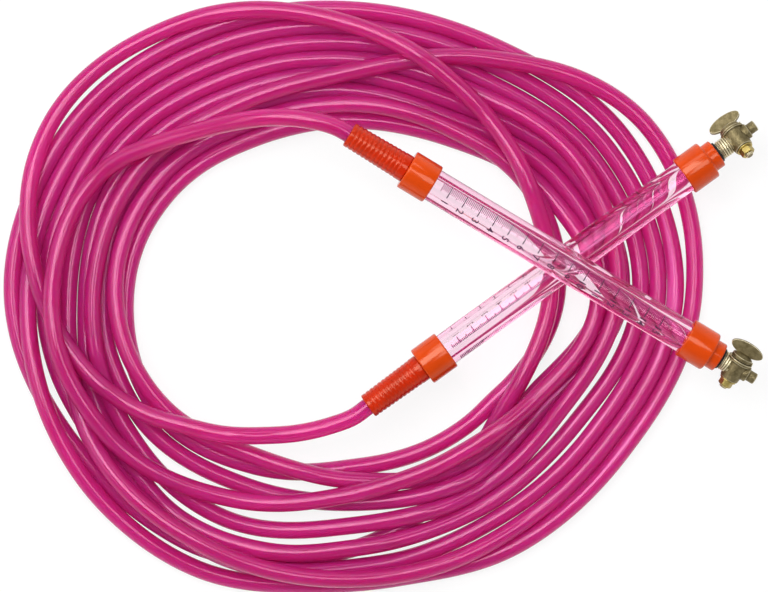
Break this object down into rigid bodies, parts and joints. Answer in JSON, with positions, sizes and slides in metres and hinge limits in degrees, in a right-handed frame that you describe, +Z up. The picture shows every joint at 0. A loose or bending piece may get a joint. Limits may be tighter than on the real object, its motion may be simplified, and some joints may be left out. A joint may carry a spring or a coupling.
{
  "type": "water level hose tool",
  "caption": "Hose water level: clear graduated gauge tubes with screw caps, ribbed bend guards and brass stopcocks at the ends of a long flexible hose that lies in a coil.",
  "frame": {"origin": "on the ground at the middle of the coil", "axes": "+Z up, +X to the right towards the stopcocks, +Y away from the viewer, as the tool lies in the picture"},
  "size_m": [0.4342, 0.3304, 0.0675],
  "materials": {
    "hose": "translucent dyed soft PVC, glossy",
    "cap": "moulded plastic, satin gloss",
    "guard": "soft ribbed plastic, glossy",
    "clear": "clear drawn acrylic with a printed scale",
    "rubber": "matt black rubber",
    "cast_brass": "cast brass, tumbled and dull",
    "bright_brass": "turned brass, bright"
  },
  "bodies": {
    "level": {"hose_coil": "hose", "hose_tail_a": "hose", "hose_tail_b": "hose", "bend_guard_a": "guard", "hose_cap_a": "cap", "hose_end_seal_a": "rubber", "gauge_tube_a": "clear", "valve_end_seal_a": "rubber", "valve_cap_a": "cap", "valve_seal_a": "rubber", "valve_body_a": "cast_brass", "bend_guard_b": "guard", "hose_cap_b": "cap", "hose_end_seal_b": "rubber", "gauge_tube_b": "clear", "valve_end_seal_b": "rubber", "valve_cap_b": "cap", "valve_seal_b": "rubber", "valve_body_b": "cast_brass"},
    "plug_a": {"valve_plug_a": "cast_brass", "plug_washer_a": "bright_brass", "plug_nut_a": "bright_brass"},
    "plug_b": {"valve_plug_b": "cast_brass", "plug_washer_b": "bright_brass", "plug_nut_b": "bright_brass"}
  },
  "joints": [
    {"name": "stopcock_a", "type": "hinge", "parent": "level", "child": "plug_a", "pos_m": [0.21644, -0.04101, 0.04089], "axis": [0.513, 0.8187, 0.2582], "range_deg": [0, 90]},
    {"name": "stopcock_b", "type": "hinge", "parent": "level", "child": "plug_b", "pos_m": [0.21804, 0.08891, 0.0295], "axis": [-0.5327, 0.7332, -0.4226], "range_deg": [0, 90]}
  ]
}
